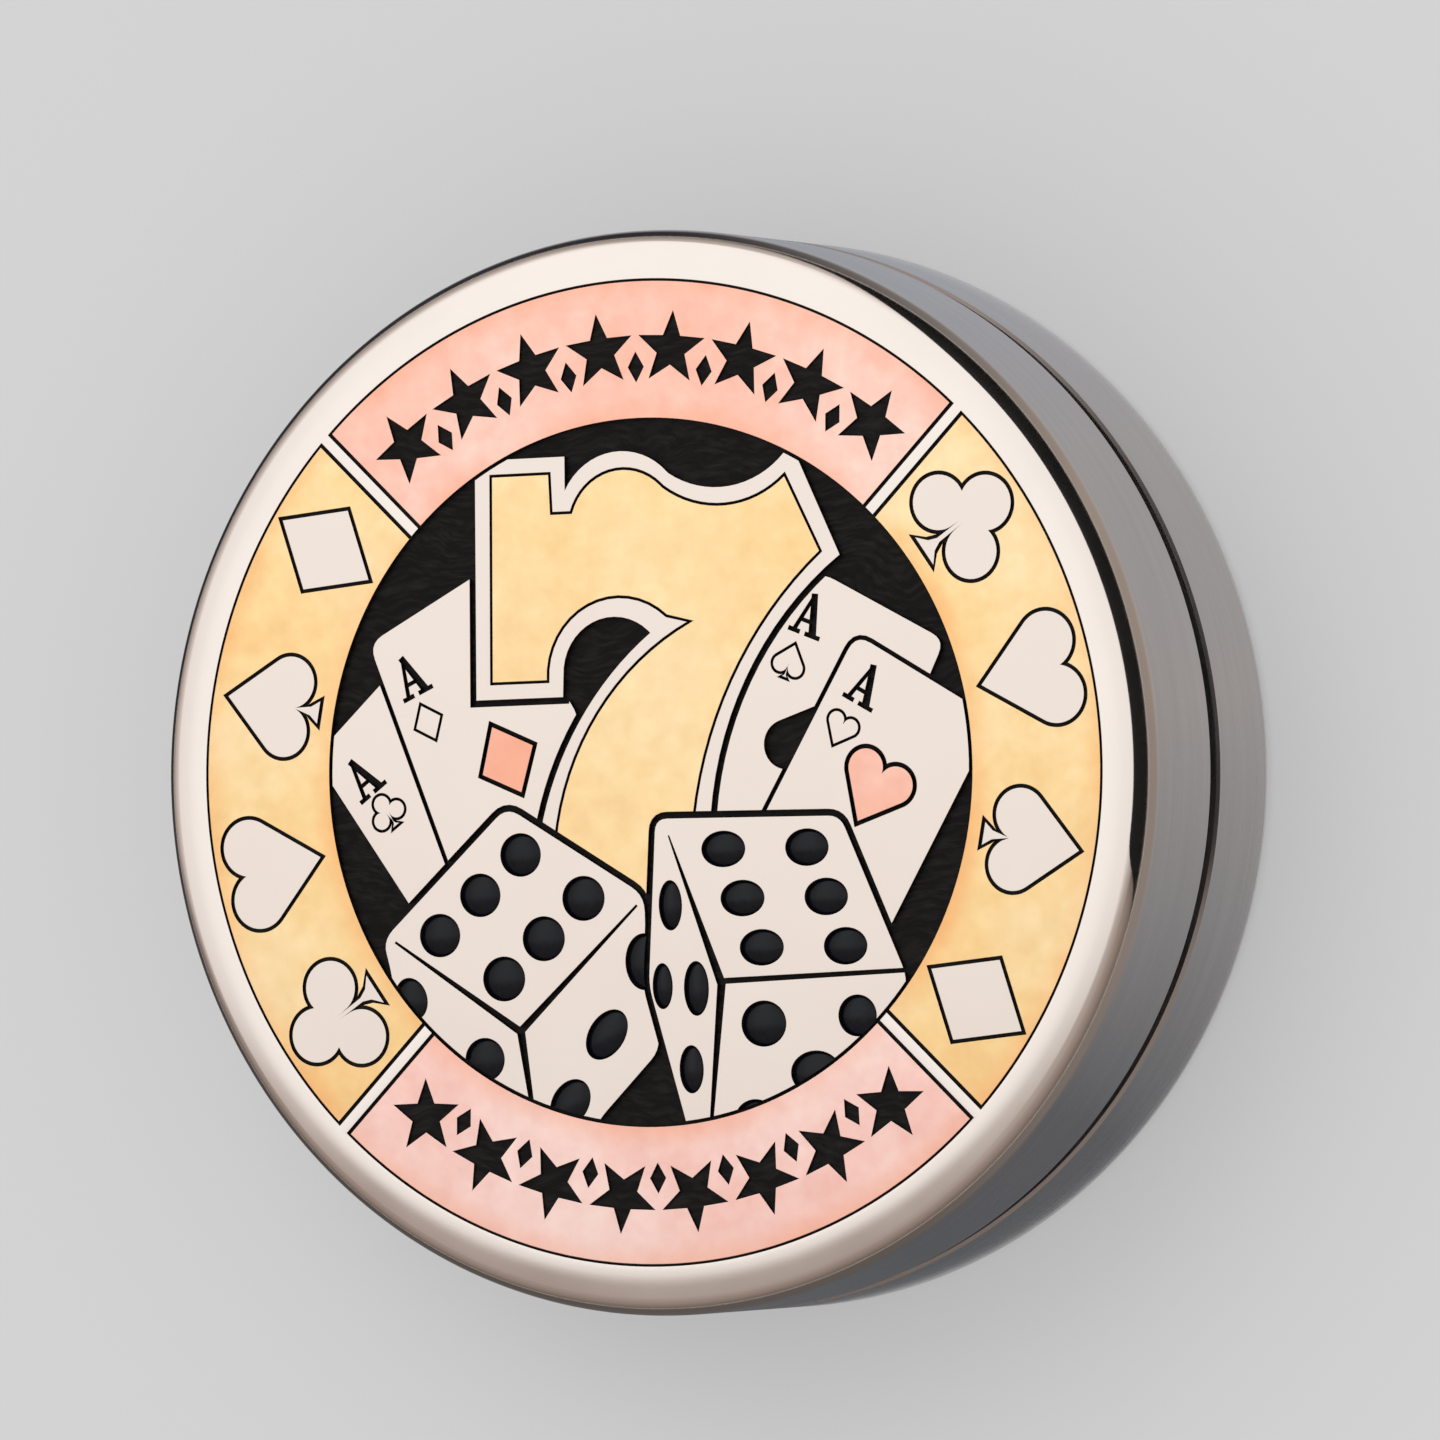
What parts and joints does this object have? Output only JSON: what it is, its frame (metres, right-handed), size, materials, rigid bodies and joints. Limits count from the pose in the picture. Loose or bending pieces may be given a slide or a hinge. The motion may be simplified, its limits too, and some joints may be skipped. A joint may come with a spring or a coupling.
{
  "type": "dealer button",
  "caption": "Round steel dealer button of two halves that turn on each other on balls, with an engraved face of suits, cards and dice.",
  "frame": {"origin": "centre of the flat back face, on the axis of the disc", "axes": "+Z along the axis, out of the decorated face; +Y towards the top of the art; lies flat on its back"},
  "size_m": [0.05, 0.05, 0.015],
  "materials": {
    "shell_steel": "satin polished",
    "face_steel": "satin polished, with heat-tinted and blackened engraving",
    "hard_steel": "ground",
    "screw_steel": "black oxide",
    "ring_brass": "turned",
    "magnet_nickel": "nickel plated",
    "ball_steel": "polished",
    "cage_plastic": "moulded",
    "shield_steel": "stamped"
  },
  "bodies": {
    "rear": {"rear_shell": "shell_steel", "rear_track_plate": "hard_steel", "rear_plate_screws": "screw_steel", "rear_magnet_ring": "ring_brass", "rear_magnets": "magnet_nickel", "rear_ring_screws": "screw_steel", "centre_post": "hard_steel", "centre_screw": "screw_steel"},
    "track": {"track_balls": "ball_steel", "track_cage": "cage_plastic"},
    "hub": {"shim_washer": "hard_steel", "bearing_inner_ring": "hard_steel"},
    "bearing": {"bearing_balls": "ball_steel", "bearing_cage": "cage_plastic"},
    "front": {"front_shell": "face_steel", "front_track_plate": "hard_steel", "front_plate_screws": "screw_steel", "front_magnet_ring": "ring_brass", "front_magnets": "magnet_nickel", "front_ring_screws": "screw_steel", "bearing_outer_ring": "hard_steel", "bearing_shields": "shield_steel"}
  },
  "joints": [
    {"name": "front_lift", "type": "slide", "parent": "rear", "child": "hub", "axis": [0, 0, 1], "range_m": [0, 0.012]},
    {"name": "front_spin", "type": "hinge", "parent": "hub", "child": "front", "pos_m": [0, 0, 0], "axis": [0, 0, 1], "continuous": true},
    {"name": "bearing_cage_turn", "type": "hinge", "parent": "hub", "child": "bearing", "pos_m": [0, 0, 0], "axis": [0, 0, 1], "continuous": true},
    {"name": "track_cage_turn", "type": "hinge", "parent": "rear", "child": "track", "pos_m": [0, 0, 0], "axis": [0, 0, 1], "continuous": true}
  ],
  "couplings": [
    {"joint": "bearing_cage_turn", "follows": "front_spin", "ratio": 0.56},
    {"joint": "track_cage_turn", "follows": "front_spin", "ratio": 0.5}
  ]
}
